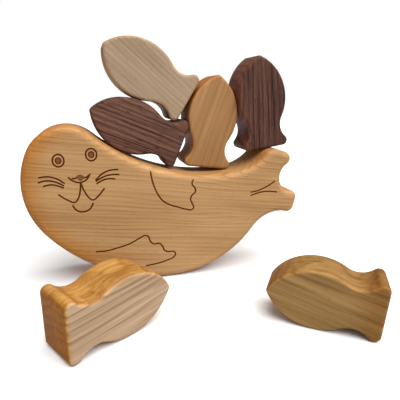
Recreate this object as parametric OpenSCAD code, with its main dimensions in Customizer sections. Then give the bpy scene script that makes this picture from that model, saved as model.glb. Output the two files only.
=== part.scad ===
// Balance game: a round-bellied wooden sea lion and six flat wooden fish to stack on its back.
// Millimetres, Z up. X runs from head to tail, Y through the boards, away from the carved side.
// The origin is where the belly stands on the table, half way through the sea lion's board.

/* [Sea lion] */
// Thickness of the sea lion's board
lion_thick = 40; // [30:1:60]
// Radius of the sea lion's rounded-over edges
lion_round = 5; // [2:0.5:5]
// Radius of the belly in front of the point it stands on
belly_fore_r = 116; // [104:1:128]
// Radius of the belly behind the point it stands on
belly_aft_r = 85; // [77:1:93]
// Radius of the crown of the head
crown_r = 27; // [22:1:31]
// Distance from the standing point forward to the middle of the head
crown_x = 71; // [64:1:75]
// Height of the top of the head
head_h = 114.5; // [105:0.5:124]
// Radius of the face and chest
face_r = 55; // [48:1:64]
// Radius of the hollow of the nape
nape_r = 135; // [95:1:165]

/* [Saddle and flukes] */
// Radius of the hollow in front of the tail
saddle_r = 36; // [31:1:42]
// Distance from the standing point back to the lowest point of the back
saddle_x = 47; // [42:1:51]
// Height of the lowest point of the back
saddle_h = 82; // [76:0.5:87]
// Radius of the crest of the tail, where the upper fluke starts
crest_r = 13; // [9:0.5:17]
// Height of the crest
crest_h = 99.5; // [94:0.5:105]
// Radius of the fluke ends
fluke_r = 5.5; // [5.5:0.5:7]
// Length of the upper fluke's top, from the crest
upper_fluke_w = 7.5; // [6.5:0.5:12]
// Fall of the upper fluke's top over that length
upper_fluke_drop = 2; // [0:0.5:3]
// Radius of the notch between the flukes
notch_r = 12; // [10.5:0.5:16]
// Distance from the standing point back to the end of the lower fluke
lower_fluke_x = 106.5; // [103:0.5:118]
// Height of the underside of the lower fluke
lower_fluke_h = 47.5; // [44:0.5:52]
// Width of the lower fluke's end, between the centres of its rounded corners
lower_fluke_w = 7; // [4:0.5:9]
// Slant of the lower fluke's end
lower_fluke_slant = 1.5; // [0:0.5:3]
// Radius of the hollow under the tail
undertail_r = 28; // [20:1:40]

/* [Fish] */
// Length of a fish
fish_len = 70; // [60:1:80]
// Thickness of a fish
fish_thick = 28; // [18:1:34]
// Height of a fish's body
fish_h = 39; // [32:1:42]
// Radius of the curved back and belly of a fish
fish_body_r = 34; // [32:1:40]
// Height of a fish's tail
fish_tail_h = 37; // [30:1:40]
// Radius of the hollow between body and tail
fish_neck_r = 13; // [10:0.5:16]
// Radius of the tail's corners
fish_corner_r = 4; // [2.5:0.5:5]
// Radius of the nose
fish_nose_r = 2.5; // [2.5:0.5:5]
// Radius of a fish's rounded-over edges
fish_round = 2.2; // [1:0.1:2.4]

/* [Stack on the back] */
// Place along the back of the fish that lies on the nape
lying_x = -22; // [-26:0.5:-17]
// Turn of the lying fish, nose up where negative
lying_turn = -20; // [-28:0.5:-14]
// Place of the lying fish behind the sea lion's middle
lying_y = 7.5; // [-6:0.5:10]
// Turn of the fish that stands in the saddle
saddle_fish_turn = -95.5; // [-100:0.5:-84]
// Place of the saddle fish behind the sea lion's middle
saddle_fish_y = 9; // [-6:0.5:10]
// Turn of the fish that stands on the tail
tail_fish_turn = -79.5; // [-84:0.5:-74]
// Place of the tail fish behind the sea lion's middle
tail_fish_y = 4; // [-6:0.5:10]
// Place along the back of the top fish
top_x = -14.5; // [-20:0.5:-10]
// Turn of the top fish
top_turn = -30; // [-36:0.5:-24]
// Place of the top fish behind the sea lion's middle
top_y = 10; // [-6:0.5:12]
// Gap left under a seated fish
rest_gap = 0.4; // [0.3:0.05:0.6]
// Gap left between fish that lean on each other
side_gap = 0.4; // [0.3:0.05:1]

/* [Fish on the table] */
// Place of the left fish along the sea lion
left_x = -48; // [-65:1:-30]
// Place of the left fish across the table, in front of the sea lion where negative
left_y = -77; // [-100:1:-72]
// Turn of the left fish about the vertical
left_turn = 31; // [0:1:60]
// Place of the right fish along the sea lion
right_x = 83; // [74:1:100]
// Place of the right fish across the table, in front of the sea lion where negative
right_y = -98; // [-120:1:-76]
// Turn of the right fish about the vertical
right_turn = -36; // [-60:1:0]

/* [Hidden] */
chord_error = 0.1;    // how far a flat facet may leave its true arc
round_steps = 3;      // facets across a rounded-over edge
same_spot = 0.01;     // neighbouring outline points closer than this are one point
far = 1000;           // well above or beside everything else
lean_passes = 6;      // times that a leaning fish is moved and seated again

// An outline is a belt pulled round circles, each [x, height, radius], counter-clockwise.
// A negative radius is a hollow: the belt runs round that circle on the other side.

// Circle of signed radius r that touches circles a and b, left (1) or right (-1) of the line a to b.
function touching(a, b, r, side) =
  let (
    d = [b.x - a.x, b.y - a.y],
    reach_a = abs(r - a.z),
    reach_b = abs(r - b.z),
    along = (reach_a ^ 2 - reach_b ^ 2 + d * d) / (2 * norm(d)),
    off = side * sqrt(max(0, reach_a ^ 2 - along ^ 2)),
    u = d / norm(d)
  )
  [a.x + along * u.x - off * u.y, a.y + along * u.y + off * u.x, r];

// Direction of the inward normal where the belt runs from circle a to circle b.
function leaving(a, b) =
  let (d = [b.x - a.x, b.y - a.y])
  atan2(d.y, d.x) + acos(max(-1, min(1, (b.z - a.z) / norm(d))));

// Angle that the belt turns through on circle c, from one normal to the next.
function wrap(c, from, to) =
  let (turn = (to - from) % 360, up = turn < -0.001 ? turn + 360 : turn)
  c.z < 0 && up > 0.001 ? up - 360 : up;

// Angle of one facet on a circle of radius r.
function facet(r) = 2 * acos(1 - chord_error / abs(r));

// Belt points, each kept as its circle and its normal's direction.
function belt_stations(belt) =
  let (n = len(belt))
  [
    for (i = [0 : n - 1])
      let (
        c = belt[i],
        from = leaving(belt[(i + n - 1) % n], c),
        turn = wrap(c, from, leaving(c, belt[(i + 1) % n])),
        steps = max(1, ceil(abs(turn) / facet(c.z)))
      )
      for (k = [0 : steps]) [c, from + turn * k / steps]
  ];

// Place of a station, moved inward by inset.
function spot(s, inset = 0) =
  [s[0].x - (s[0].z - inset) * cos(s[1]), s[0].y - (s[0].z - inset) * sin(s[1])];

// Stations of a belt without repeated points.
function stations(belt) =
  let (all = belt_stations(belt), n = len(all))
  [for (i = [0 : n - 1]) if (norm(spot(all[i]) - spot(all[(i + 1) % n])) > same_spot) all[i]];

function outline(st) = [for (s = st) spot(s)];

// Sea lion's outline, from the belly round the tail and the back to the head.
belly_fore = [0, belly_fore_r, belly_fore_r];
belly_aft = [0, belly_aft_r, belly_aft_r];
crown = [-crown_x, head_h - crown_r, crown_r];
face = touching(crown, belly_fore, face_r, -1);
saddle = [saddle_x, saddle_h + saddle_r, -saddle_r];
nape = touching(crown, saddle, -nape_r, 1);
crest_z = crest_h - crest_r;
crest_reach = sqrt((saddle_r + crest_r) ^ 2 - (saddle.y - crest_z) ^ 2);
crest = [saddle_x + crest_reach, crest_z, crest_r];
upper_tip = [crest.x + upper_fluke_w, crest_h - upper_fluke_drop - fluke_r, fluke_r];
lower_top = [lower_fluke_x - fluke_r, lower_fluke_h + fluke_r + lower_fluke_w, fluke_r];
lower_heel = [lower_top.x - lower_fluke_slant, lower_fluke_h + fluke_r, fluke_r];
notch = touching(lower_top, upper_tip, -notch_r, -1);
undertail = touching(belly_aft, lower_heel, -undertail_r, -1);
lion_stations = stations([
  belly_fore, belly_aft, undertail, lower_heel, lower_top, notch, upper_tip, crest, saddle, nape, crown, face
]);
lion_outline = outline(lion_stations);

// Fish's outline about the middle of its length, nose towards -X, from the tail's upper corner to its lower one.
nose = [fish_nose_r - fish_len / 2, 0, fish_nose_r];
body_drop = fish_body_r - fish_h / 2;
body_x = nose.x + sqrt((fish_body_r - fish_nose_r) ^ 2 - body_drop ^ 2);
under_body = [body_x, body_drop, fish_body_r];
under_corner = [fish_len / 2 - fish_corner_r, fish_corner_r - fish_tail_h / 2, fish_corner_r];
under_neck = touching(under_body, under_corner, -fish_neck_r, -1);
function over(c) = [c.x, -c.y, c.z];
fish_stations = stations([
  over(under_corner), over(under_neck), over(under_body), nose, under_body, under_neck, under_corner
]);
fish_outline = outline(fish_stations);

// Seating: outlines are lowered on to, or pushed against, what carries them.
function turned(pts, a) = [for (p = pts) [p.x * cos(a) - p.y * sin(a), p.x * sin(a) + p.y * cos(a)]];
function shifted(pts, v) = [for (p = pts) p + v];
function swapped(pts) = [for (p = pts) [p.y, p.x]];
function placed(at, turn) = shifted(turned(fish_outline, turn), at);

// Heights at which an outline crosses the vertical line at x.
function crossings(pts, x) =
  [
    for (i = [0 : len(pts) - 1])
      let (a = pts[i], b = pts[(i + 1) % len(pts)])
      if ((a.x <= x) != (b.x <= x)) a.y + (b.y - a.y) * (x - a.x) / (b.x - a.x)
  ];

// Least vertical distance from one outline down to another.
function clearance(upper, lower) =
  min([
    far,
    for (p = upper) let (h = crossings(lower, p.x)) if (len(h) > 0) p.y - max(h),
    for (p = lower) let (h = crossings(upper, p.x)) if (len(h) > 0) min(h) - p.y
  ]);

// Middle of a fish at x, lowered until it rests on an outline.
function seated(x, turn, under) =
  [x, far / 2 - clearance(placed([x, far / 2], turn), under) + rest_gap];

// Middle of a fish that rests on an outline and leans against the nearest of the fish on its left.
// Each pass moves it sideways by what is spare and seats it again.
function leaning(x, turn, under, left_fish, passes = lean_passes) =
  let (at = seated(x, turn, under), tried = swapped(placed(at, turn)))
  passes == 0
    ? at
    : let (spare = min([for (f = left_fish) clearance(tried, swapped(f))]) - side_gap)
      leaning(x - spare, turn, under, left_fish, passes - 1);

lying_at = seated(lying_x, lying_turn, lion_outline);
lying_fish = placed(lying_at, lying_turn);
top_at = seated(top_x, top_turn, lying_fish);
top_fish = placed(top_at, top_turn);
saddle_fish_at = leaning(saddle_x, saddle_fish_turn, lion_outline, [lying_fish, top_fish]);
saddle_fish = placed(saddle_fish_at, saddle_fish_turn);
tail_fish_at = leaning(crest.x, tail_fish_turn, lion_outline, [saddle_fish]);

// A fish on the table stands on its belly and the corner of its tail.
table_turn = 90 - leaving(under_body, under_corner);
table_z = -min([for (p = turned(fish_outline, table_turn)) p.y]);

// Faces that fill a ring of n points, in strips across it. The ring is the same on both sides.
function strips(n) =
  [
    for (i = [0 : ceil(n / 2) - 2])
      i + 1 < n - 2 - i ? [i, i + 1, n - 2 - i, n - 1 - i] : [i, i + 1, i + 2]
  ];

// Triangles that fill a ring between its points i and j, each across the shorter way to the other side.
function ladder(pts, i, j) =
  let (
    n = len(pts),
    from_i = norm(pts[(i + 1) % n] - pts[j % n]),
    from_j = norm(pts[i % n] - pts[(j - 1) % n])
  )
  j - i < 2
    ? []
    : from_i < from_j
      ? concat([[i % n, (i + 1) % n, j % n]], ladder(pts, i + 1, j))
      : concat([[i % n, (j - 1) % n, j % n]], ladder(pts, i, j - 1));

// The sea lion is filled in three parts that meet in a triangle at the bottom of the notch: body and two flukes.
function on_arcs(a, b) =
  [for (i = [0 : len(lion_stations) - 1]) if (lion_stations[i][0] == a || lion_stations[i][0] == b) i];
function nearest(p, ids) =
  let (gaps = [for (i = ids) norm(lion_outline[i] - p)])
  [for (k = [0 : len(ids) - 1]) if (gaps[k] == min(gaps)) ids[k]][0];
notch_at = nearest([-far, notch.y], on_arcs(notch, notch));
under_at = nearest(lion_outline[notch_at], on_arcs(undertail, belly_aft));
crest_at = nearest(lion_outline[notch_at], on_arcs(crest, saddle));
lion_faces = concat(
  [[under_at, notch_at, crest_at]],
  ladder(lion_outline, under_at, notch_at),
  ladder(lion_outline, notch_at, crest_at),
  ladder(lion_outline, crest_at, under_at + len(lion_outline))
);

// Board cut to an outline, with rounded-over edges on both sides. Faces fill its front and back.
module board(st, thick, round, faces) {
  n = len(st);
  edge = [
    for (k = [0 : round_steps])
      let (a = 90 * k / round_steps)
      [round * (1 - sin(a)), thick / 2 - round * (1 - cos(a))]
  ];
  rings = [
    for (k = [0 : round_steps]) [edge[k][0], -edge[k][1]],
    for (k = [round_steps : -1 : 0]) edge[k]
  ];
  last = len(rings) - 1;
  points = [for (r = rings) for (s = st) let (p = spot(s, r[0])) [p.x, r[1], p.y]];
  walls = [
    for (k = [0 : last - 1])
      for (i = [0 : n - 1])
        let (j = (i + 1) % n)
        [k * n + i, k * n + j, (k + 1) * n + j, (k + 1) * n + i]
  ];
  front = [for (f = faces) [for (i = [len(f) - 1 : -1 : 0]) f[i]]];
  back = [for (f = faces) [for (i = f) last * n + i]];
  polyhedron(points, concat(front, walls, back), convexity = 6);
}

module fish() {
  board(fish_stations, fish_thick, fish_round, strips(len(fish_stations)));
}

// Fish in the stack: at is its middle seen from the front, y its place behind the sea lion's middle.
module stacked_fish(at, y, turn) {
  translate([at.x, y, at.y])
    rotate([0, -turn, 0])
      fish();
}

module table_fish(x, y, turn) {
  translate([x, y, table_z])
    rotate([0, -table_turn, turn])
      fish();
}

module sea_lion() {
  color("#c98f52")
    board(lion_stations, lion_thick, lion_round, lion_faces);
}

module fish_walnut_lying() {
  color("#6d4b3d")
    stacked_fish(lying_at, lying_y, lying_turn);
}

module fish_cherry_upright() {
  color("#c18a55")
    stacked_fish(saddle_fish_at, saddle_fish_y, saddle_fish_turn);
}

module fish_maple_top() {
  color("#cfb48d")
    stacked_fish(top_at, top_y, top_turn);
}

module fish_walnut_upright() {
  color("#64453a")
    stacked_fish(tail_fish_at, tail_fish_y, tail_fish_turn);
}

module fish_front_left() {
  color("#d0a878")
    table_fish(left_x, left_y, left_turn + 180);
}

module fish_front_right() {
  color("#c6a063")
    table_fish(right_x, right_y, right_turn);
}

sea_lion();
fish_walnut_lying();
fish_cherry_upright();
fish_maple_top();
fish_walnut_upright();
fish_front_left();
fish_front_right();
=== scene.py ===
import math

import bpy
import bmesh
from mathutils import Matrix, Vector


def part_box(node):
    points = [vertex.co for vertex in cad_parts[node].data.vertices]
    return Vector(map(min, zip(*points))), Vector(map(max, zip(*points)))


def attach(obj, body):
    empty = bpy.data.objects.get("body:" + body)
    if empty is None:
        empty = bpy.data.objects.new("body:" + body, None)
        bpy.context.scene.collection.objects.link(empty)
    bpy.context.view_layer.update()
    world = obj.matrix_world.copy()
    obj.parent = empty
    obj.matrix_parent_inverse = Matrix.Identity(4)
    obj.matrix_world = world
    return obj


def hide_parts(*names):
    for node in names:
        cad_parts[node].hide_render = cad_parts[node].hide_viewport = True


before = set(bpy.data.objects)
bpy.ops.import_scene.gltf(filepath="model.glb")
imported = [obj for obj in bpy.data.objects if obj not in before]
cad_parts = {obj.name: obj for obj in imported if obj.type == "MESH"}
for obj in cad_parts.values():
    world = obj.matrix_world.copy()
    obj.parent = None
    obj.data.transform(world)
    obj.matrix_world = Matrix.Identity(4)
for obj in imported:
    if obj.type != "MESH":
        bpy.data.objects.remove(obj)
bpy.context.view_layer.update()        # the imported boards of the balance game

mm = 0.001
scene = bpy.context.scene
print("frame:", len(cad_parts), "boards")


# Small helpers for node trees, materials and objects
def feed(tree, socket, value):
    if isinstance(value, bpy.types.NodeSocket):
        tree.links.new(value, socket)
    else:
        socket.default_value = value


def addNode(tree, kind, inputs=None, **settings):
    node = tree.nodes.new(kind)
    for name, value in settings.items():
        setattr(node, name, value)
    for key, value in (inputs or {}).items():
        feed(tree, node.inputs[key], value)
    return node


def calc(tree, operation, a, b=0.0, c=0.0):
    return addNode(tree, "ShaderNodeMath", {0: a, 1: b, 2: c}, operation=operation).outputs[0]


def vectorCalc(tree, operation, a, b=(0, 0, 0)):
    return addNode(tree, "ShaderNodeVectorMath", {0: a, 1: b}, operation=operation).outputs[0]


def scaled(tree, vector, factor):
    return addNode(tree, "ShaderNodeVectorMath", {0: vector, "Scale": factor}, operation="SCALE").outputs[0]


def spread(tree, value, low, high, kind="LINEAR"):
    # 0 at low and 1 at high
    return addNode(tree, "ShaderNodeMapRange", {"Value": value, "From Min": low, "From Max": high},
                   interpolation_type=kind).outputs[0]


def mixColour(tree, factor, a, b, mode="MIX"):
    # a mix node's colours are its inputs 6 and 7 and its output 2
    return addNode(tree, "ShaderNodeMix", {0: factor, 6: a, 7: b}, data_type="RGBA", blend_type=mode).outputs[2]


def stored(tree, name, kind="Fac"):
    # what the board tree has left on the mesh
    return addNode(tree, "ShaderNodeAttribute", attribute_name=name).outputs[kind]


def newTree(name, kind, inputs, outputs):
    tree = bpy.data.node_groups.new(name, kind)
    for label, socketType in inputs.items():
        tree.interface.new_socket(label, in_out="INPUT", socket_type="NodeSocket" + socketType)
    for label, socketType in outputs.items():
        tree.interface.new_socket(label, in_out="OUTPUT", socket_type="NodeSocket" + socketType)
    given = tree.nodes.new("NodeGroupInput").outputs
    result = tree.nodes.new("NodeGroupOutput").inputs
    return tree, given, result


def newMaterial(name):
    material = bpy.data.materials.new(name)
    material.use_nodes = True
    return material, material.node_tree, material.node_tree.nodes["Principled BSDF"]


def addObject(name, data):
    thing = bpy.data.objects.new(name, data)
    scene.collection.objects.link(thing)
    return thing


def tint(red, green, blue):
    # screen colour, 0 to 255, as the linear colour that a shader takes
    return tuple(((c / 255 + 0.055) / 1.055) ** 2.4 for c in (red, green, blue)) + (1.0,)


# Outlines: a belt pulled round circles (x, height, radius), counter-clockwise.
# A negative radius is a hollow, with the belt on the other side of the circle.
def touching(a, b, radius, side):
    # circle of that radius that touches both a and b
    dx, dy = b[0] - a[0], b[1] - a[1]
    apart = math.hypot(dx, dy)
    reachA, reachB = abs(radius - a[2]), abs(radius - b[2])
    along = (reachA ** 2 - reachB ** 2 + apart ** 2) / (2 * apart)
    off = side * math.sqrt(max(0.0, reachA ** 2 - along ** 2))
    return (a[0] + (along * dx - off * dy) / apart, a[1] + (along * dy + off * dx) / apart, radius)


def leaving(a, b):
    # direction of the inward normal where the belt runs from a to b
    dx, dy = b[0] - a[0], b[1] - a[1]
    return math.atan2(dy, dx) + math.acos(max(-1.0, min(1.0, (b[2] - a[2]) / math.hypot(dx, dy))))


def beltOutline(belt, chordError=0.004):
    points = []
    sameSpot = 0.005
    noTurn = 0.0001
    for i, (x, y, radius) in enumerate(belt):
        start = leaving(belt[i - 1], belt[i])
        turn = (leaving(belt[i], belt[(i + 1) % len(belt)]) - start) % math.tau
        if turn > math.tau - noTurn or (radius < 0 and turn > noTurn):
            turn -= math.tau
        steps = max(1, math.ceil(abs(turn) / (2 * math.acos(1 - chordError / abs(radius)))))
        for k in range(steps + 1):
            angle = start + turn * k / steps
            spot = Vector((x - radius * math.cos(angle), y - radius * math.sin(angle)))
            if not points or (spot - points[-1]).length > sameSpot:
                points.append(spot)
    if (points[0] - points[-1]).length < sameSpot:
        points.pop()
    return points


def addSplines(data, splines, kind, closed, height):
    # splines in millimetres on the board's own plane
    for points in splines:
        spline = data.splines.new(kind)
        spline.use_cyclic_u = closed
        knots = spline.bezier_points if kind == "BEZIER" else spline.points
        knots.add(len(points) - 1)
        for knot, (x, y) in zip(knots, points):
            if kind == "BEZIER":
                knot.co = (x * mm, y * mm, height * mm)
                knot.handle_left_type = knot.handle_right_type = "AUTO"
            else:
                knot.co = (x * mm, y * mm, height * mm, 1)


def curveObject(name, splines, kind="POLY", closed=True, height=0.0, stepsPerSpan=10):
    data = bpy.data.curves.new(name, "CURVE")
    data.dimensions = "3D"
    data.resolution_u = stepsPerSpan
    addSplines(data, splines, kind, closed, height)
    return addObject(name, data)


# Boards: what is the same for all of them, lengths in millimetres
boardCut = {
    "weld": 0.002,                          # joins the two faces to the rim
    "sliver": 0.005,                        # clears what the cuts leave behind
    "flatFrom": 0.9999,                     # a face with a more upright normal is shaded flat
    "tipSides": 10,                         # of the round tip that burns the lines
    "pocketBurn": 0.6, "lineBurn": 1.0,     # lines are burnt darker than pockets
    "burntFrom": 0.5,                       # faces marked above this get the burnt finish
}


# Geometry Nodes: a board cut to an outline, with its edges rounded over and lines burnt into its front.
# The board lies on the XY plane, with its front towards +Z.
def makeBoardTree():
    tree, given, result = newTree(
        "roundedBoard", "GeometryNodeTree",
        {"Outline": "Object", "Lines": "Object", "Pockets": "Object", "Thickness": "Float",
         "Round Over": "Float", "Round Steps": "Int", "Line Width": "Float", "Plank Spot": "Vector",
         "Wood": "Material", "Burn": "Material"},
        {"Board": "Geometry"})
    half = calc(tree, "MULTIPLY", given["Thickness"], 0.5)
    halfBack = calc(tree, "MULTIPLY", half, -1.0)
    inward = calc(tree, "MULTIPLY", given["Round Over"], -1.0)

    def step(kind, inputs=None, **settings):
        return addNode(tree, "GeometryNode" + kind, inputs, **settings).outputs[0]

    def drawn(label):
        return addNode(tree, "GeometryNodeObjectInfo", {"Object": given[label]}).outputs["Geometry"]

    def sectionPoint(inset, height):
        return addNode(tree, "ShaderNodeCombineXYZ", {0: inset, 1: height}).outputs[0]

    # section of the rim, from the front face round to the back face
    section = step("CurvePrimitiveQuadrilateral",
                   {"Point 1": sectionPoint(inward, half), "Point 2": sectionPoint(0.0, half),
                    "Point 3": sectionPoint(0.0, halfBack), "Point 4": sectionPoint(inward, halfBack)},
                   mode="POINTS")
    section = step("SetSplineCyclic", {"Geometry": section, "Cyclic": False})
    section = step("FilletCurve",
                   {"Curve": section, "Radius": given["Round Over"], "Count": given["Round Steps"]}, mode="POLY")
    path = step("SetCurveNormal", {"Curve": drawn("Outline")}, mode="Z_UP")
    rim = step("CurveToMesh", {"Curve": path, "Profile Curve": section})
    rim = step("FlipFaces", {"Mesh": rim})          # outward

    # front and back faces, inside the rounded edge
    normal = step("InputNormal")
    innerPath = step("SetPosition", {"Geometry": path, "Offset": scaled(tree, normal, inward)})
    face = step("FillCurve", {"Curve": innerPath}, mode="NGONS")
    upright = addNode(tree, "ShaderNodeSeparateXYZ", {0: normal}).outputs
    faces = []
    for height, inverted in ((half, "LESS_THAN"), (halfBack, "GREATER_THAN")):
        lift = addNode(tree, "ShaderNodeCombineXYZ", {2: height}).outputs[0]
        lifted = step("Transform", {"Geometry": face, "Translation": lift})
        faces.append(step("FlipFaces", {"Mesh": lifted, "Selection": calc(tree, inverted, upright[2], 0.0)}))
    whole = addNode(tree, "GeometryNodeJoinGeometry")
    for part in (rim, *faces):
        tree.links.new(part, whole.inputs[0])
    board = step("MergeByDistance", {"Geometry": whole.outputs[0], "Distance": boardCut["weld"] * mm})

    # grooves and pockets burnt into the front
    tip = step("CurvePrimitiveCircle",
               {"Resolution": boardCut["tipSides"], "Radius": calc(tree, "MULTIPLY", given["Line Width"], 0.5)})
    grooves = step("CurveToMesh", {"Curve": drawn("Lines"), "Profile Curve": tip, "Fill Caps": True})
    for cutter, burn in ((drawn("Pockets"), boardCut["pocketBurn"]), (grooves, boardCut["lineBurn"])):
        marked = step("StoreNamedAttribute", {"Geometry": cutter, "Name": "burnt", "Value": burn},
                      data_type="FLOAT", domain="FACE")
        board = step("MeshBoolean", {"Mesh 1": board, "Mesh 2": marked, "Self Intersection": True},
                     operation="DIFFERENCE", solver="EXACT")
    board = step("MergeByDistance", {"Geometry": board, "Distance": boardCut["sliver"] * mm})

    # the two faces stay flat, the rim and the grooves are smooth
    steep = calc(tree, "LESS_THAN", calc(tree, "ABSOLUTE", upright[2]), boardCut["flatFrom"])
    board = step("SetShadeSmooth", {"Geometry": board, "Shade Smooth": steep})

    # what the wood needs to know: place in the plank, end grain, turn from the face to the sawn edge
    position = vectorCalc(tree, "ADD", step("InputPosition"), given["Plank Spot"])
    endGrain = calc(tree, "ABSOLUTE", upright[0])
    sawnEdge = calc(tree, "SUBTRACT", 1.0, calc(tree, "ABSOLUTE", upright[2]))
    for name, dataType, domain, value in (("woodPlace", "FLOAT_VECTOR", "POINT", position),
                                          ("endGrain", "FLOAT", "CORNER", endGrain),
                                          ("sawnEdge", "FLOAT", "CORNER", sawnEdge)):
        board = step("StoreNamedAttribute", {"Geometry": board, "Name": name, "Value": value},
                     data_type=dataType, domain=domain)
    burnt = step("InputNamedAttribute", {"Name": "burnt"}, data_type="FLOAT")
    burnt = calc(tree, "GREATER_THAN", burnt, boardCut["burntFrom"])
    board = step("RealizeInstances", {"Geometry": board})
    board = step("SetMaterial", {"Geometry": board, "Material": given["Wood"]})
    board = step("SetMaterial", {"Geometry": board, "Material": given["Burn"], "Selection": burnt})
    tree.links.new(board, result["Board"])
    return tree


boardTree = makeBoardTree()
socketIds = {item.name: item.identifier for item in boardTree.interface.items_tree if item.in_out == "INPUT"}


def buildBoard(name, values):
    # runs the tree once and keeps its result as a plain mesh
    bench = addObject(name + "Bench", bpy.data.meshes.new(name + "Bench"))
    modifier = bench.modifiers.new("board", "NODES")
    modifier.node_group = boardTree
    for label, value in values.items():
        modifier[socketIds[label]] = value
    graph = bpy.context.evaluated_depsgraph_get()
    mesh = bpy.data.meshes.new_from_object(bench.evaluated_get(graph), preserve_all_data_layers=True,
                                           depsgraph=graph)
    mesh.name = name
    bpy.data.objects.remove(bench)
    return addObject(name, mesh)


def seatOn(piece, node, turn):
    # turned as the board lies, then moved so that its box has the same middle as the node's
    piece.data.transform(turn)
    low, high = (Vector(corner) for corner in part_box(node))
    spots = [v.co for v in piece.data.vertices]
    middle = Vector([(min(s[i] for s in spots) + max(s[i] for s in spots)) / 2 for i in range(3)])
    piece.data.transform(Matrix.Translation((low + high) / 2 - middle))
    piece.data.update()


standUp = Matrix.Rotation(math.pi / 2, 4, "X")     # the board's front turns towards -Y, its height up
print("board tree ready")

# Wood figure: growth rings, streaks, fibres, pores and where the round-over takes its painted highlight and
# shade, shared by all the woods.
# A grain is its length and width in millimetres and its detail. A spread is what becomes 0 and what becomes 1.
figureRule = {
    "swayGrain": (120.0, 26.0, 2.0),                # waves in the rings
    "lateGrowth": 2.5, "lateSpread": (1.0, 0.88),   # a ring darkens slowly and ends sharply
    "streakStretch": 1.5,                           # streaks are longer than fibres
    "streakDetail": 2.0, "streakSpread": (0.32, 0.68),
    "fibreDetail": 3.0, "fibreSpread": (0.28, 0.72),
    "poreDetail": 0.0, "poreTop": 0.78, "poreDrop": 0.3, "poreRim": 0.09,
    "cloudGrain": (70.0, 18.0, 1.0), "cloudSpread": (0.3, 0.7),
    # where the round-over gets its painted highlight and shade
    "roundOverShadingIn": (0.0, 0.25), "roundOverShadingOut": (0.75, 0.35),     # most in the middle of the round-over
}


def makeWoodFigure():
    tree, given, result = newTree(
        "woodFigure", "ShaderNodeTree",
        {"Place": "Vector", "Heart": "Vector", "Ring Width": "Float", "Ring Wave": "Float",
         "Streak Width": "Float", "Fibre Length": "Float", "Fibre Width": "Float", "Pore Length": "Float",
         "Pore Width": "Float", "Pore Share": "Float", "Sawn Edge": "Float"},
        {"Rings": "Float", "Streaks": "Float", "Fibres": "Float", "Pores": "Float", "Clouds": "Float",
         "Round Over Shading": "Float"})
    rule = figureRule
    # millimetres from the heart of the tree, with the grain along X
    place = vectorCalc(tree, "ADD", scaled(tree, given["Place"], 1 / mm), given["Heart"])

    def grain(length, width, detail):
        size = addNode(tree, "ShaderNodeCombineXYZ", {0: length, 1: width, 2: width}).outputs[0]
        spot = vectorCalc(tree, "DIVIDE", place, size)
        return addNode(tree, "ShaderNodeTexNoise", {"Vector": spot, "Scale": 1.0, "Detail": detail}).outputs

    sway = vectorCalc(tree, "SUBTRACT", grain(*rule["swayGrain"])[1], (0.5, 0.5, 0.5))
    sway = scaled(tree, sway, given["Ring Wave"])
    swayed = vectorCalc(tree, "MULTIPLY", vectorCalc(tree, "ADD", place, sway), (0.0, 1.0, 1.0))
    radius = addNode(tree, "ShaderNodeVectorMath", {0: swayed}, operation="LENGTH").outputs["Value"]
    season = calc(tree, "FRACT", calc(tree, "DIVIDE", radius, given["Ring Width"]))
    late = calc(tree, "MULTIPLY", calc(tree, "POWER", season, rule["lateGrowth"]),
                spread(tree, season, *rule["lateSpread"], "SMOOTHSTEP"))
    tree.links.new(late, result["Rings"])

    streakLength = calc(tree, "MULTIPLY", given["Fibre Length"], rule["streakStretch"])
    streaks = grain(streakLength, given["Streak Width"], rule["streakDetail"])[0]
    tree.links.new(spread(tree, streaks, *rule["streakSpread"]), result["Streaks"])
    fibres = grain(given["Fibre Length"], given["Fibre Width"], rule["fibreDetail"])[0]
    tree.links.new(spread(tree, fibres, *rule["fibreSpread"]), result["Fibres"])
    pores = grain(given["Pore Length"], given["Pore Width"], rule["poreDetail"])[0]
    drop = calc(tree, "MULTIPLY", given["Pore Share"], rule["poreDrop"])
    opening = calc(tree, "SUBTRACT", rule["poreTop"], drop)
    opened = calc(tree, "ADD", opening, rule["poreRim"])
    tree.links.new(spread(tree, pores, opening, opened, "SMOOTHSTEP"), result["Pores"])
    clouds = grain(*rule["cloudGrain"])[0]
    tree.links.new(spread(tree, clouds, *rule["cloudSpread"]), result["Clouds"])
    # mask for the painted highlight and shade, most in the middle of the round-over
    roundOverShading = calc(tree, "MULTIPLY", spread(tree, given["Sawn Edge"], *rule["roundOverShadingIn"], "SMOOTHSTEP"),
                spread(tree, given["Sawn Edge"], *rule["roundOverShadingOut"], "SMOOTHSTEP"))
    tree.links.new(roundOverShading, result["Round Over Shading"])
    return tree


woodFigure = makeWoodFigure()


# Edge darkening: 1 along two arcs of a board's edge and 0 at the given depth inside, fading along the board. On
# the sea lion it is painted shade.
def makeEdgeDarkening():
    tree, given, result = newTree(
        "edgeDarkening", "ShaderNodeTree",
        {"Place": "Vector", "First Middle": "Vector", "First Radius": "Float", "Second Middle": "Vector",
         "Second Radius": "Float", "Depth": "Float", "From": "Float", "To": "Float"},
        {"Darkening": "Float"})
    place = scaled(tree, given["Place"], 1 / mm)
    flat = vectorCalc(tree, "MULTIPLY", place, (1, 1, 0))

    def depthInside(middle, radius):
        reach = addNode(tree, "ShaderNodeVectorMath", {0: flat, 1: middle}, operation="DISTANCE")
        return calc(tree, "SUBTRACT", radius, reach.outputs["Value"])

    depth = calc(tree, "MINIMUM", depthInside(given["First Middle"], given["First Radius"]),
                 depthInside(given["Second Middle"], given["Second Radius"]))
    near = spread(tree, depth, given["Depth"], 0.0, "SMOOTHSTEP")
    along = addNode(tree, "ShaderNodeSeparateXYZ", {0: place}).outputs[0]
    ahead = spread(tree, along, given["From"], given["To"], "SMOOTHSTEP")
    tree.links.new(calc(tree, "MULTIPLY", near, ahead), result["Darkening"])
    return tree


edgeDarkening = makeEdgeDarkening()


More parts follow.
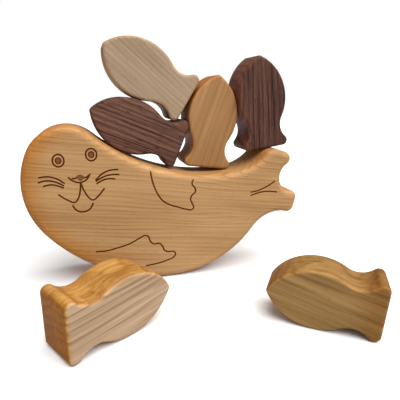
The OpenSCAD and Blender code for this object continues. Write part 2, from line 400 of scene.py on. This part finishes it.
def makeWood(name, look):
    material, tree, shader = newMaterial(name)
    place = stored(tree, "woodPlace", "Vector")
    endGrain = stored(tree, "endGrain")
    sawnEdge = stored(tree, "sawnEdge")
    fall = (0, 0, math.radians(look["slope"]))
    slope = addNode(tree, "ShaderNodeMapping", {"Vector": place, "Rotation": fall}).outputs[0]
    figure = addNode(tree, "ShaderNodeGroup", node_tree=woodFigure)
    feed(tree, figure.inputs["Place"], slope)
    feed(tree, figure.inputs["Sawn Edge"], sawnEdge)
    for label, key in (("Heart", "heart"), ("Ring Width", "ringWidth"), ("Ring Wave", "ringWave"),
                       ("Streak Width", "streakWidth"), ("Fibre Length", "fibreLength"),
                       ("Fibre Width", "fibreWidth"), ("Pore Length", "poreLength"),
                       ("Pore Width", "poreWidth"), ("Pore Share", "poreShare")):
        figure.inputs[label].default_value = look[key]
    fibres, pores = figure.outputs["Fibres"], figure.outputs["Pores"]

    depth = calc(tree, "MULTIPLY", fibres, look["fibreDepth"])
    for label, key in (("Rings", "ringDepth"), ("Streaks", "streakDepth"), ("Clouds", "cloudDepth")):
        depth = calc(tree, "MULTIPLY_ADD", figure.outputs[label], look[key], depth)
    colour = mixColour(tree, depth, look["pale"], look["dark"])
    colour = mixColour(tree, calc(tree, "MULTIPLY", pores, look["poreDepth"]), colour, look["pore"])
    # sawn edges take their own tone, and where the tint is darker it is also painted shade
    colour = mixColour(tree, sawnEdge, colour, look["edge"], "MULTIPLY")
    # painted highlight along the middle of the round-over; where the tint is darker it is painted shade
    colour = mixColour(tree, figure.outputs["Round Over Shading"], colour, look["roundOverShading"], "MULTIPLY")
    # the ends take the end grain's darker tone, darkened further as painted shade
    colour = mixColour(tree, calc(tree, "MULTIPLY", endGrain, endGrain), colour, look["end"], "MULTIPLY")
    # darker near given arcs of the edge; on the sea lion this is painted shade
    if "edgeDark" in look:
        edgeDark = look["edgeDark"]
        darkening = addNode(tree, "ShaderNodeGroup", node_tree=edgeDarkening)
        feed(tree, darkening.inputs["Place"], place)
        for label, (x, y, radius) in (("First", edgeDark["arcs"][0]), ("Second", edgeDark["arcs"][-1])):
            darkening.inputs[label + " Middle"].default_value = (x, y, 0)
            darkening.inputs[label + " Radius"].default_value = radius
        for label, key in (("Depth", "depth"), ("From", "from"), ("To", "to")):
            darkening.inputs[label].default_value = edgeDark[key]
        colour = mixColour(tree, darkening.outputs["Darkening"], colour, edgeDark["tint"], "MULTIPLY")
    tree.links.new(colour, shader.inputs["Base Color"])

    dull = calc(tree, "MULTIPLY_ADD", fibres, look["fibreDull"], look["roughness"])
    dull = calc(tree, "MULTIPLY_ADD", pores, look["poreDull"], dull)
    tree.links.new(dull, shader.inputs["Roughness"])
    relief = calc(tree, "SUBTRACT", calc(tree, "MULTIPLY", fibres, look["fibreRelief"]), pores)
    bump = addNode(tree, "ShaderNodeBump", {"Strength": look["relief"], "Distance": look["reliefDepth"] * mm,
                                            "Height": relief})
    tree.links.new(bump.outputs[0], shader.inputs["Normal"])
    shader.inputs["Specular IOR Level"].default_value = look["specular"]
    return material


# Woods: lengths in millimetres. The edge, end and round-over tints multiply the colour, so they may pass 255.
woodBase = {
    "slope": 0.0,                   # degrees that the grain falls by along the board
    "heart": (0, 150, 40),          # from the heart of the tree
    "ringWidth": 3.5, "ringWave": 8.0, "ringDepth": 0.25,
    "streakWidth": 3.0, "streakDepth": 0.35,
    "fibreLength": 60.0, "fibreWidth": 0.9, "fibreDepth": 0.3,
    "poreLength": 4.0, "poreWidth": 0.35, "poreShare": 0.25, "poreDepth": 0.5,
    "cloudDepth": 0.25,
    # the edge and end tints are the sawn edges' and ends' own tone together with painted shade; the round-over
    # tint is a painted highlight
    "edge": tint(255, 245, 225), "end": tint(235, 215, 185), "roundOverShading": tint(282, 276, 265),
    "roughness": 0.46, "fibreDull": 0.1, "poreDull": 0.2, "specular": 0.12,
    "relief": 0.25, "reliefDepth": 0.15, "fibreRelief": 0.4,
}
woods = {
    "oiledAlder": dict(
        woodBase, pale=tint(204, 163, 114), dark=tint(147, 105, 62), pore=tint(112, 70, 36),
        slope=5.0, heart=(0, 260, 60), ringWidth=3.0, ringWave=14.0, ringDepth=0.34,
        streakWidth=1.6, streakDepth=0.22, fibreWidth=0.5, fibreDepth=0.36,
        poreLength=5.0, poreWidth=0.4, poreShare=0.24, poreDepth=0.45,
        edge=tint(252, 242, 222), end=tint(240, 202, 145), roundOverShading=tint(266, 268, 270),
        # painted shade: the face and the belly darken along their edge towards the lower left
        edgeDark={"arcs": ((-45.7, 75.6, 55.0), (0.0, 116.0, 116.0)),       # face and front of the belly
              "depth": 18.0, "from": -15.0, "to": -75.0, "tint": tint(244, 212, 155)}),
    "oiledWalnut": dict(
        woodBase, pale=tint(147, 105, 87), dark=tint(58, 35, 28), pore=tint(34, 18, 14),
        heart=(0, 90, 20), ringWidth=3.6, ringWave=10.0, ringDepth=0.38,
        streakWidth=1.2, streakDepth=0.42, fibreLength=45.0, fibreWidth=0.45, fibreDepth=0.42,
        poreLength=7.0, poreShare=0.5, poreDepth=0.75,
        # this walnut's edges and round-over are darkened as painted shade
        edge=tint(222, 196, 170), end=tint(240, 210, 180), roundOverShading=tint(240, 236, 230)),
    "oiledDarkWalnut": dict(
        woodBase, pale=tint(121, 82, 69), dark=tint(45, 25, 20), pore=tint(30, 16, 12),
        slope=3.0, heart=(0, 70, 25), ringWidth=4.0, ringWave=14.0, ringDepth=0.44,
        streakWidth=1.5, streakDepth=0.4, fibreLength=28.0, fibreWidth=0.55, fibreDepth=0.38,
        poreLength=5.0, poreShare=0.5, poreDepth=0.7,
        edge=tint(318, 304, 284), end=tint(240, 222, 200)),
    "oiledCherry": dict(
        woodBase, pale=tint(183, 140, 95), dark=tint(140, 98, 57), pore=tint(116, 76, 42),
        slope=12.0, heart=(30, 120, 20), ringWidth=4.5, ringDepth=0.3,
        streakWidth=1.8, fibreLength=45.0, fibreWidth=0.5, fibreDepth=0.42,
        edge=tint(258, 232, 190), end=tint(240, 210, 165)),
    "oiledMaple": dict(
        woodBase, pale=tint(182, 160, 134), dark=tint(134, 108, 83), pore=tint(114, 90, 66),
        slope=9.0, heart=(10, 140, 35), ringWidth=3.0, ringDepth=0.3,
        streakWidth=1.4, streakDepth=0.3, fibreLength=40.0, fibreWidth=0.5,
        edge=tint(246, 196, 110)),
    "oiledBeech": dict(
        woodBase, pale=tint(201, 175, 146), dark=tint(142, 110, 79), pore=tint(118, 84, 54),
        slope=4.0, heart=(60, 160, 15), ringWidth=5.5, ringWave=18.0, ringDepth=0.4,
        streakWidth=2.2, streakDepth=0.45, fibreLength=50.0, fibreWidth=0.55, fibreDepth=0.4, poreShare=0.15,
        edge=tint(258, 222, 140), end=tint(214, 178, 20)),
    "oiledBirch": dict(
        woodBase, pale=tint(182, 144, 91), dark=tint(118, 86, 44), pore=tint(98, 68, 32),
        slope=12.0, heart=(20, 130, 60), ringWidth=7.0, ringWave=14.0, ringDepth=0.3,
        streakWidth=2.6, streakDepth=0.42, fibreLength=45.0, fibreWidth=0.5, cloudDepth=0.3,
        edge=tint(248, 242, 222), end=tint(235, 182, 80),
        edgeDark={"arcs": ((-145.0, 55.0, 200.0),),                         # end of the tail
              "depth": 26.0, "from": 20.0, "to": 45.0, "tint": tint(228, 210, 178)}),
}
materials = {name: makeWood(name, look) for name, look in woods.items()}

# Burnt line: the grain is the char's own, the tone runs from the light to the dark colour
burn = {
    "light": tint(138, 94, 56), "dark": tint(84, 32, 2),
    "grainScale": 900.0, "grainDetail": 3.0, "grainTone": 0.3,
    "burntTone": 1.4, "toneShift": -0.7,
    "roughness": 0.6, "grainDull": 0.2, "specular": 0.02,
}


def makeBurn():
    material, tree, shader = newMaterial("burntLine")
    place = stored(tree, "woodPlace", "Vector")
    char = addNode(tree, "ShaderNodeTexNoise", {"Vector": place, "Scale": burn["grainScale"],
                                                "Detail": burn["grainDetail"]}).outputs[0]
    tone = calc(tree, "MULTIPLY_ADD", stored(tree, "burnt"), burn["burntTone"], burn["toneShift"])
    tone = calc(tree, "MULTIPLY_ADD", char, burn["grainTone"], tone)
    ramp = addNode(tree, "ShaderNodeValToRGB", {0: tone})
    ramp.color_ramp.elements[0].color = burn["light"]
    ramp.color_ramp.elements[1].color = burn["dark"]
    tree.links.new(ramp.outputs[0], shader.inputs["Base Color"])
    dull = calc(tree, "MULTIPLY_ADD", char, burn["grainDull"], burn["roughness"])
    tree.links.new(dull, shader.inputs["Roughness"])
    shader.inputs["Specular IOR Level"].default_value = burn["specular"]
    return material


burntLine = makeBurn()
print("woods ready:", ", ".join(woods))

# Sea lion: outline sizes and burnt lines in millimetres, from the spot that the belly stands on
seaLion = {
    "thick": 40.0, "roundOver": 5.0, "roundSteps": 8,
    "bellyFore": 116.0, "bellyAft": 85.0,
    "crown": 27.0, "crownX": 71.0, "headHeight": 114.5,
    "face": 55.0, "nape": 135.0,
    "saddle": 36.0, "saddleX": 47.0, "saddleHeight": 82.0,
    "crest": 13.0, "crestHeight": 99.5,
    "fluke": 5.5, "upperFlukeWidth": 7.5, "upperFlukeDrop": 2.0, "notch": 12.0,
    "lowerFlukeX": 106.5, "lowerFlukeHeight": 47.5, "lowerFlukeWidth": 7.0, "lowerFlukeSlant": 1.5,
    "undertail": 28.0,
}
lineWork = {
    "width": 1.2,
    "lift": 0.1,                            # how far the round cutter's middle stays above the face
    "pocketDepth": 0.4,
    "eyes": ((-76.1, 92.7), (-55.2, 96.6)),
    "eyeRing": (3.5, 4.1), "pupilRing": (1.6, 1.8), "pupil": (1.35, 1.55),     # half width and half height
    "ringKnots": 8, "pupilSides": 24,
    "nose": ((-63, 83.2), (-60.9, 82.3), (-60.2, 80.8), (-62.7, 78.8), (-65.2, 80.8), (-65, 82.3)),
    "strokes": (
        # muzzle
        ((-70.7, 81.5), (-67.1, 78.6), (-63.1, 77.7), (-59.1, 79.5), (-56.3, 83.6)),
        ((-68.4, 80.7), (-66.6, 80.5), (-65, 81.1)),
        ((-60.4, 80.9), (-58.6, 81.5), (-57.2, 82.7)),
        # mouth and chin
        ((-62.8, 77.5), (-63.4, 71.4), (-65.3, 65.7), (-67.1, 64), (-71.5, 65.6), (-77.4, 69.8)),
        ((-62.8, 77.5), (-60.1, 70.5), (-56.4, 65.6), (-55, 65.2), (-51.4, 68), (-47.2, 73.3)),
        ((-68.8, 61.9), (-66.1, 58.1), (-62, 56.9), (-57.9, 58.4), (-55, 63)),
        # whiskers
        ((-88.9, 81.6), (-82.7, 82.1), (-77.8, 80.6), (-72.9, 77.3)),
        ((-89.4, 78.2), (-84.7, 79.4), (-79.1, 78.6), (-73.3, 75.6)),
        ((-86.5, 75.7), (-82.4, 76.6), (-78.1, 76.1), (-73.7, 74.2)),
        ((-53.1, 78.9), (-48.9, 83.1), (-44.1, 85.5), (-37.6, 86.3)),
        ((-52.8, 78.2), (-48.3, 81), (-42.8, 82.6), (-37, 82.7)),
        ((-52.5, 76.4), (-49.1, 78.5), (-44.2, 79.9), (-39.8, 79.6)),
        # flippers
        ((-15.4, 84.9), (-14.4, 79.3), (-12.4, 72.7), (-9.4, 66.6), (-5.7, 62), (-0.7, 59.1), (6.1, 56.7),
         (11.8, 55), (15.9, 54.4), (17.4, 55.8), (16.1, 59.7), (14.9, 62.5), (15.6, 65.3), (18.5, 68.7),
         (17.8, 71.5), (15.8, 74), (16.2, 77), (18.2, 78.6)),
        ((-54.7, 26.4), (-47.2, 26.4), (-39.1, 28.1), (-30.3, 30.7), (-23.9, 34), (-19.2, 36.2), (-16.9, 35.3),
         (-15.6, 32), (-13.2, 29.2), (-7.9, 28.8), (-6, 26.4), (-4.4, 23.2), (-1.5, 21.7), (2.7, 21.5),
         (4.2, 19.6), (3, 17), (-1.4, 15), (-8.3, 13), (-14.5, 12.1), (-18.7, 11.6)),
        # tail
        ((63.7, 66.2), (69.4, 67.3), (75.3, 69.5), (79.6, 71.7), (84.1, 74.7)),
        ((63.9, 63.6), (69.6, 65.3), (75.6, 66.4), (81.3, 66.3), (86.8, 65.6)),
    ),
}


def seaLionBelt(s):
    bellyFore = (0.0, s["bellyFore"], s["bellyFore"])
    bellyAft = (0.0, s["bellyAft"], s["bellyAft"])
    crown = (-s["crownX"], s["headHeight"] - s["crown"], s["crown"])
    saddle = (s["saddleX"], s["saddleHeight"] + s["saddle"], -s["saddle"])
    crestHeight = s["crestHeight"] - s["crest"]
    crestReach = math.sqrt((s["saddle"] + s["crest"]) ** 2 - (saddle[1] - crestHeight) ** 2)
    crest = (s["saddleX"] + crestReach, crestHeight, s["crest"])
    fluke = s["fluke"]
    upperTip = (crest[0] + s["upperFlukeWidth"], s["crestHeight"] - s["upperFlukeDrop"] - fluke, fluke)
    lowerTop = (s["lowerFlukeX"] - fluke, s["lowerFlukeHeight"] + fluke + s["lowerFlukeWidth"], fluke)
    lowerHeel = (lowerTop[0] - s["lowerFlukeSlant"], s["lowerFlukeHeight"] + fluke, fluke)
    undertail = touching(bellyAft, lowerHeel, -s["undertail"], -1)
    notch = touching(lowerTop, upperTip, -s["notch"], -1)
    nape = touching(crown, saddle, -s["nape"], 1)
    face = touching(crown, bellyFore, s["face"], -1)
    return [bellyFore, bellyAft, undertail, lowerHeel, lowerTop, notch, upperTip, crest, saddle, nape,
            crown, face]


def ellipse(middle, halves, count):
    angles = [math.tau * k / count for k in range(count)]
    return [(middle[0] + halves[0] * math.cos(a), middle[1] + halves[1] * math.sin(a)) for a in angles]


def smoothLoop(points, perSpan=6):
    # closed curve through a few points
    loop = []
    for i in range(len(points)):
        p0, p1, p2, p3 = (Vector(points[(i + k) % len(points)]) for k in (-1, 0, 1, 2))
        for k in range(perSpan):
            t = k / perSpan
            loop.append(0.5 * (2 * p1 + (p2 - p0) * t + (2 * p0 - 5 * p1 + 4 * p2 - p3) * t ** 2
                               + (3 * p1 - p0 - 3 * p2 + p3) * t ** 3))
    return loop


def pocketCutter(loops, face, depth):
    # closed prisms that reach from above the face down to the depth
    form = bmesh.new()
    for loop in loops:
        floor = [form.verts.new((x * mm, y * mm, (face - depth) * mm)) for x, y in loop]
        roof = [form.verts.new((x * mm, y * mm, (face + depth) * mm)) for x, y in loop]
        form.faces.new(list(reversed(floor)))
        form.faces.new(roof)
        for i in range(len(loop)):
            j = (i + 1) % len(loop)
            form.faces.new((floor[i], floor[j], roof[j], roof[i]))
    bmesh.ops.recalc_face_normals(form, faces=form.faces[:])
    mesh = bpy.data.meshes.new("pockets")
    form.to_mesh(mesh)
    form.free()
    return addObject("pockets", mesh)


def makeSeaLion():
    frontFace = seaLion["thick"] / 2
    lineHeight = frontFace + lineWork["lift"]
    outline = curveObject("seaLionOutline", [beltOutline(seaLionBelt(seaLion))])
    lines = curveObject("burntLines", lineWork["strokes"], "BEZIER", False, lineHeight)
    rings = [ellipse(eye, lineWork[part], lineWork["ringKnots"])
             for eye in lineWork["eyes"] for part in ("eyeRing", "pupilRing")]
    addSplines(lines.data, rings, "BEZIER", True, lineHeight)
    loops = [ellipse(eye, lineWork["pupil"], lineWork["pupilSides"]) for eye in lineWork["eyes"]]
    loops.append(smoothLoop(lineWork["nose"]))
    pockets = pocketCutter(loops, frontFace, lineWork["pocketDepth"])
    piece = buildBoard("seaLion", {
        "Outline": outline, "Lines": lines, "Pockets": pockets, "Thickness": seaLion["thick"] * mm,
        "Round Over": seaLion["roundOver"] * mm, "Round Steps": seaLion["roundSteps"],
        "Line Width": lineWork["width"] * mm, "Wood": materials["oiledAlder"], "Burn": burntLine})
    for helper in (outline, lines, pockets):
        bpy.data.objects.remove(helper)
    seatOn(piece, "sea_lion", standUp)
    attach(piece, "sea_lion")
    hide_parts("sea_lion")
    print("sea lion:", len(piece.data.polygons), "faces")


makeSeaLion()

# Fish: one outline in millimetres about its middle, nose towards -X
fish = {
    "thick": 28.0, "roundOver": 2.2, "roundSteps": 6,
    "length": 70.0, "height": 39.0, "body": 34.0, "tailHeight": 37.0, "neck": 13.0, "corner": 4.0, "nose": 2.5,
}
# turn in the plane of the board or swing about the vertical, in degrees;
# plankSpot, in millimetres, is where in its plank the fish was cut
shoal = {
    "fishWalnutLying": {"node": "fish_walnut_lying", "wood": "oiledWalnut", "slot": "walnut",
                        "turn": -20.0, "plankSpot": (0, 0, 0)},
    "fishCherryUpright": {"node": "fish_cherry_upright", "wood": "oiledCherry", "slot": "cherry",
                          "turn": -95.5, "plankSpot": (35, 12, 8)},
    "fishMapleTop": {"node": "fish_maple_top", "wood": "oiledMaple", "slot": "maple",
                     "turn": -30.0, "plankSpot": (-60, 30, 15)},
    "fishWalnutUpright": {"node": "fish_walnut_upright", "wood": "oiledDarkWalnut", "slot": "walnut",
                          "turn": -79.5, "plankSpot": (110, 45, -20)},
    "fishFrontLeft": {"node": "fish_front_left", "wood": "oiledBeech", "slot": "beech",
                      "swing": 211.0, "plankSpot": (75, -20, 5)},
    "fishFrontRight": {"node": "fish_front_right", "wood": "oiledBirch", "slot": "birch",
                       "swing": -36.0, "plankSpot": (20, 55, -10)},
}


def fishBelt(s):
    half = s["length"] / 2
    nose = (s["nose"] - half, 0.0, s["nose"])
    drop = s["body"] - s["height"] / 2
    body = (nose[0] + math.sqrt((s["body"] - s["nose"]) ** 2 - drop ** 2), drop, s["body"])
    corner = (half - s["corner"], s["corner"] - s["tailHeight"] / 2, s["corner"])
    neck = touching(body, corner, -s["neck"], -1)
    upper = [(x, -y, radius) for x, y, radius in (corner, neck, body)]
    return [nose, body, neck, corner, *upper]


def makeShoal():
    belt = fishBelt(fish)
    outline = curveObject("fishOutline", [beltOutline(belt)])
    body, corner = belt[1], belt[3]
    onTable = math.pi / 2 - leaving(body, corner)       # belly and tail corner both on the table
    for name, one in shoal.items():
        piece = buildBoard(name, {
            "Outline": outline, "Thickness": fish["thick"] * mm, "Round Over": fish["roundOver"] * mm,
            "Round Steps": fish["roundSteps"], "Plank Spot": [x * mm for x in one["plankSpot"]],
            "Wood": materials[one["wood"]]})
        inPlane = math.radians(one["turn"]) if "turn" in one else onTable
        swing = math.radians(one.get("swing", 0.0))
        seatOn(piece, one["node"], Matrix.Rotation(swing, 4, "Z") @ standUp @ Matrix.Rotation(inPlane, 4, "Z"))
        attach(piece, one["node"])
        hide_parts(one["node"])
        print(name, len(piece.data.polygons), "faces")
    bpy.data.objects.remove(outline)


makeShoal()

# Camera: place in millimetres, angles in degrees, focal length in pixels of the 400 pixel picture
camera = {
    "place": (-57.3, -272.9, 135.4), "azimuth": 17.47, "elevation": 15.53, "roll": -2.29,
    "focal": 364.1, "picture": 400.0, "sensor": 36.0, "nearest": 10.0,
}


def makeCamera():
    azimuth, elevation, roll = (math.radians(camera[key]) for key in ("azimuth", "elevation", "roll"))
    forward = Vector((math.sin(azimuth) * math.cos(elevation), math.cos(azimuth) * math.cos(elevation),
                      -math.sin(elevation)))
    right = Vector((math.cos(azimuth), -math.sin(azimuth), 0.0))
    down = forward.cross(right)
    across = math.cos(roll) * right + math.sin(roll) * down
    upward = math.sin(roll) * right - math.cos(roll) * down
    lens = bpy.data.cameras.new("photoCamera")
    lens.sensor_width = camera["sensor"]
    lens.lens = camera["sensor"] * camera["focal"] / camera["picture"]
    lens.clip_start = camera["nearest"] * mm
    holder = addObject("photoCamera", lens)
    holder.matrix_world = Matrix.Translation(Vector(camera["place"]) * mm) @ Matrix(
        (across, upward, -forward)).transposed().to_4x4()
    scene.camera = holder


makeCamera()

# Studio: pale floor and soft light, lengths in metres
studio = {
    "floor": 8.0, "floorRoughness": 0.9,
    "floorBounce": (0.6, 0.6, 0.6, 1.0),        # as it lights the boards
    "floorSeen": (0.95, 0.95, 0.95, 1.0),       # as the eye sees it
    "sky": (1.0, 1.0, 1.0, 1.0),
    "world": 0.35, "backdrop": 1.0,             # strength as light and as seen
    "aim": (0.0, 0.0, 0.06),
    "lamps": {
        "highPanel": {"kind": "SUN", "place": (0.2, -0.32, 1.0), "spread": 70.0, "power": 4.15},
        "rightPanel": {"kind": "AREA", "place": (0.8, -0.6, 0.6), "size": 0.8, "power": 1.5},
    },
}


def cameraRay(tree):
    return addNode(tree, "ShaderNodeLightPath").outputs["Is Camera Ray"]


def makeFloor():
    half = studio["floor"] / 2
    mesh = bpy.data.meshes.new("floor")
    mesh.from_pydata([(-half, -half, 0), (half, -half, 0), (half, half, 0), (-half, half, 0)], [], [(0, 1, 2, 3)])
    floor = addObject("floor", mesh)
    paint, tree, shader = newMaterial("paleFloor")
    white = mixColour(tree, cameraRay(tree), studio["floorBounce"], studio["floorSeen"])
    tree.links.new(white, shader.inputs["Base Color"])
    shader.inputs["Roughness"].default_value = studio["floorRoughness"]
    mesh.materials.append(paint)


def makeLight():
    world = bpy.data.worlds.new("studio")
    scene.world = world
    world.use_nodes = True
    tree = world.node_tree
    sky = tree.nodes["Background"]
    sky.inputs["Color"].default_value = studio["sky"]
    strength = calc(tree, "MULTIPLY_ADD", cameraRay(tree), studio["backdrop"] - studio["world"], studio["world"])
    tree.links.new(strength, sky.inputs["Strength"])
    for name, one in studio["lamps"].items():
        lamp = bpy.data.lights.new(name, one["kind"])
        lamp.energy = one["power"]
        if one["kind"] == "SUN":
            lamp.angle = math.radians(one["spread"])
        else:
            lamp.size = one["size"]
        place = Vector(one["place"])
        turn = (Vector(studio["aim"]) - place).to_track_quat("-Z", "Y")
        addObject(name, lamp).matrix_world = Matrix.Translation(place) @ turn.to_matrix().to_4x4()
    scene.view_settings.view_transform = "Standard"


makeFloor()
makeLight()
print("camera and studio ready")
